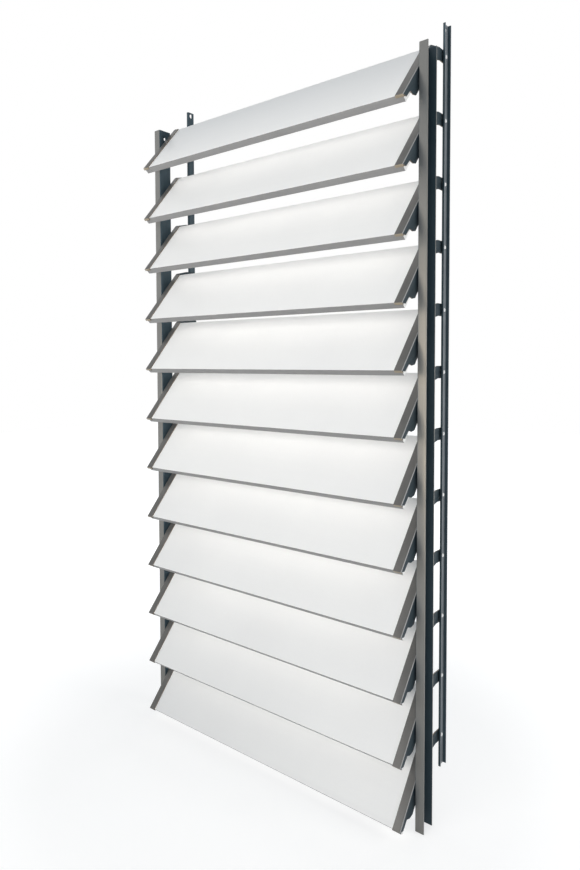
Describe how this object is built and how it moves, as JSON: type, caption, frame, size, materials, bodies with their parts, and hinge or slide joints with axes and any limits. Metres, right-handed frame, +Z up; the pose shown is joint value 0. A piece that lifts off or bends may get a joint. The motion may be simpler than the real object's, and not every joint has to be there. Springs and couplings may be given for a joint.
{
  "type": "adjustable louvre screen",
  "caption": "Tall adjustable louvre screen: flat white level slats in grey pressed end clips, pivoting between two channel stiles and tilted together by link bars behind.",
  "frame": {"origin": "on the level of the stiles' lower ends, mid way across the screen and mid way through its depth", "axes": "+Z up along the stiles, -Y out of the face side, X along the slats"},
  "size_m": [0.744, 0.1678, 1.5194],
  "materials": {
    "slat_white": "white lacquer, satin",
    "clip_paint": "grey, satin",
    "stile_paint": "grey, satin",
    "bar_paint": "grey, satin",
    "pivot_steel": "plain",
    "pin_nylon": "matt"
  },
  "bodies": {
    "frame": {"left_stile": "stile_paint", "right_stile": "stile_paint", "left_pivot_pins": "pivot_steel", "right_pivot_pins": "pivot_steel"},
    "blade_01": {"slat_01": "slat_white", "slat_01_left_clip": "clip_paint", "slat_01_right_clip": "clip_paint"},
    "blade_02": {"slat_02": "slat_white", "slat_02_left_clip": "clip_paint", "slat_02_right_clip": "clip_paint"},
    "blade_03": {"slat_03": "slat_white", "slat_03_left_clip": "clip_paint", "slat_03_right_clip": "clip_paint"},
    "blade_04": {"slat_04": "slat_white", "slat_04_left_clip": "clip_paint", "slat_04_right_clip": "clip_paint"},
    "blade_05": {"slat_05": "slat_white", "slat_05_left_clip": "clip_paint", "slat_05_right_clip": "clip_paint"},
    "blade_06": {"slat_06": "slat_white", "slat_06_left_clip": "clip_paint", "slat_06_right_clip": "clip_paint"},
    "blade_07": {"slat_07": "slat_white", "slat_07_left_clip": "clip_paint", "slat_07_right_clip": "clip_paint"},
    "blade_08": {"slat_08": "slat_white", "slat_08_left_clip": "clip_paint", "slat_08_right_clip": "clip_paint"},
    "blade_09": {"slat_09": "slat_white", "slat_09_left_clip": "clip_paint", "slat_09_right_clip": "clip_paint"},
    "blade_10": {"slat_10": "slat_white", "slat_10_left_clip": "clip_paint", "slat_10_right_clip": "clip_paint"},
    "blade_11": {"slat_11": "slat_white", "slat_11_left_clip": "clip_paint", "slat_11_right_clip": "clip_paint"},
    "blade_12": {"slat_12": "slat_white", "slat_12_left_clip": "clip_paint", "slat_12_right_clip": "clip_paint"},
    "left_link": {"left_link_bar": "bar_paint", "left_link_pins": "pin_nylon"},
    "right_link": {"right_link_bar": "bar_paint", "right_link_pins": "pin_nylon"}
  },
  "joints": [
    {"name": "blade_01_tilt", "type": "hinge", "parent": "frame", "child": "blade_01", "pos_m": [0, -0.01331, 1.385], "axis": [-1, 0, 0], "range_deg": [-25, 50]},
    {"name": "blade_02_tilt", "type": "hinge", "parent": "frame", "child": "blade_02", "pos_m": [0, -0.01331, 1.265], "axis": [-1, 0, 0], "range_deg": [-25, 50]},
    {"name": "blade_03_tilt", "type": "hinge", "parent": "frame", "child": "blade_03", "pos_m": [0, -0.01331, 1.145], "axis": [-1, 0, 0], "range_deg": [-25, 50]},
    {"name": "blade_04_tilt", "type": "hinge", "parent": "frame", "child": "blade_04", "pos_m": [0, -0.01331, 1.025], "axis": [-1, 0, 0], "range_deg": [-25, 50]},
    {"name": "blade_05_tilt", "type": "hinge", "parent": "frame", "child": "blade_05", "pos_m": [0, -0.01331, 0.905], "axis": [-1, 0, 0], "range_deg": [-25, 50]},
    {"name": "blade_06_tilt", "type": "hinge", "parent": "frame", "child": "blade_06", "pos_m": [0, -0.01331, 0.785], "axis": [-1, 0, 0], "range_deg": [-25, 50]},
    {"name": "blade_07_tilt", "type": "hinge", "parent": "frame", "child": "blade_07", "pos_m": [0, -0.01331, 0.665], "axis": [-1, 0, 0], "range_deg": [-25, 50]},
    {"name": "blade_08_tilt", "type": "hinge", "parent": "frame", "child": "blade_08", "pos_m": [0, -0.01331, 0.545], "axis": [-1, 0, 0], "range_deg": [-25, 50]},
    {"name": "blade_09_tilt", "type": "hinge", "parent": "frame", "child": "blade_09", "pos_m": [0, -0.01331, 0.425], "axis": [-1, 0, 0], "range_deg": [-25, 50]},
    {"name": "blade_10_tilt", "type": "hinge", "parent": "frame", "child": "blade_10", "pos_m": [0, -0.01331, 0.305], "axis": [-1, 0, 0], "range_deg": [-25, 50]},
    {"name": "blade_11_tilt", "type": "hinge", "parent": "frame", "child": "blade_11", "pos_m": [0, -0.01331, 0.185], "axis": [-1, 0, 0], "range_deg": [-25, 50]},
    {"name": "blade_12_tilt", "type": "hinge", "parent": "frame", "child": "blade_12", "pos_m": [0, -0.01331, 0.065], "axis": [-1, 0, 0], "range_deg": [-25, 50]},
    {"name": "left_link_pivot", "type": "hinge", "parent": "blade_01", "child": "left_link", "pos_m": [0, 0.07388, 1.45935], "axis": [-1, 0, 0], "range_deg": [-50, 25]},
    {"name": "right_link_pivot", "type": "hinge", "parent": "blade_01", "child": "right_link", "pos_m": [0, 0.07388, 1.45935], "axis": [-1, 0, 0], "range_deg": [-50, 25]}
  ],
  "couplings": [
    {"joint": "blade_02_tilt", "follows": "blade_01_tilt", "ratio": 1},
    {"joint": "blade_03_tilt", "follows": "blade_01_tilt", "ratio": 1},
    {"joint": "blade_04_tilt", "follows": "blade_01_tilt", "ratio": 1},
    {"joint": "blade_05_tilt", "follows": "blade_01_tilt", "ratio": 1},
    {"joint": "blade_06_tilt", "follows": "blade_01_tilt", "ratio": 1},
    {"joint": "blade_07_tilt", "follows": "blade_01_tilt", "ratio": 1},
    {"joint": "blade_08_tilt", "follows": "blade_01_tilt", "ratio": 1},
    {"joint": "blade_09_tilt", "follows": "blade_01_tilt", "ratio": 1},
    {"joint": "blade_10_tilt", "follows": "blade_01_tilt", "ratio": 1},
    {"joint": "blade_11_tilt", "follows": "blade_01_tilt", "ratio": 1},
    {"joint": "blade_12_tilt", "follows": "blade_01_tilt", "ratio": 1},
    {"joint": "left_link_pivot", "follows": "blade_01_tilt", "ratio": -1},
    {"joint": "right_link_pivot", "follows": "blade_01_tilt", "ratio": -1}
  ]
}
